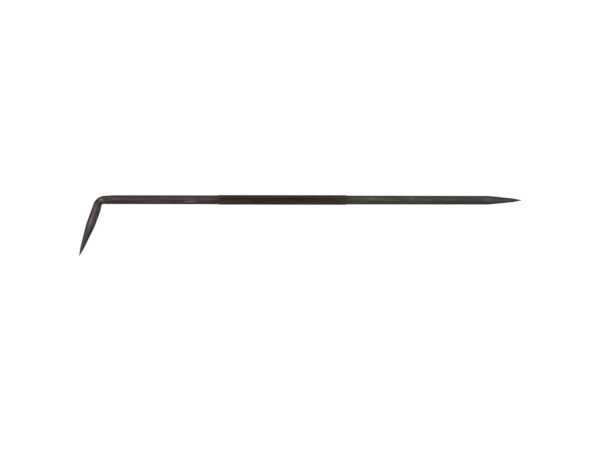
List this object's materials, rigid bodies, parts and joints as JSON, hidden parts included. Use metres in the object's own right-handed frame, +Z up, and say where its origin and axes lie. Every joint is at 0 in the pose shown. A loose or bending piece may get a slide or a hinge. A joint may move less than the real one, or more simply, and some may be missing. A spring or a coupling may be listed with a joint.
{
  "type": "double-ended scriber",
  "caption": "Slim double-ended steel scriber: long straight needle point, hooked needle point and a diamond-knurled grip between them.",
  "frame": {"origin": "centre of the bounding box at its lowest point, with the tool lying on its side on a bench", "axes": "+X along the bar towards the straight point, the bent leg reaches towards -Y, +Z up out of the plane that the bar and the leg lie in"},
  "size_m": [0.2501, 0.0346, 0.0056],
  "materials": {
    "blackened_steel": "black oxide worn to a purple-brown and olive-grey patina, with the needle points ground back to dull grey steel",
    "knurled_black_steel": "matte brown-black oxide over a fine diamond knurl"
  },
  "bodies": {
    "root": {"knurled_grip": "knurled_black_steel", "straight_point": "blackened_steel", "bent_point": "blackened_steel"}
  },
  "joints": []
}
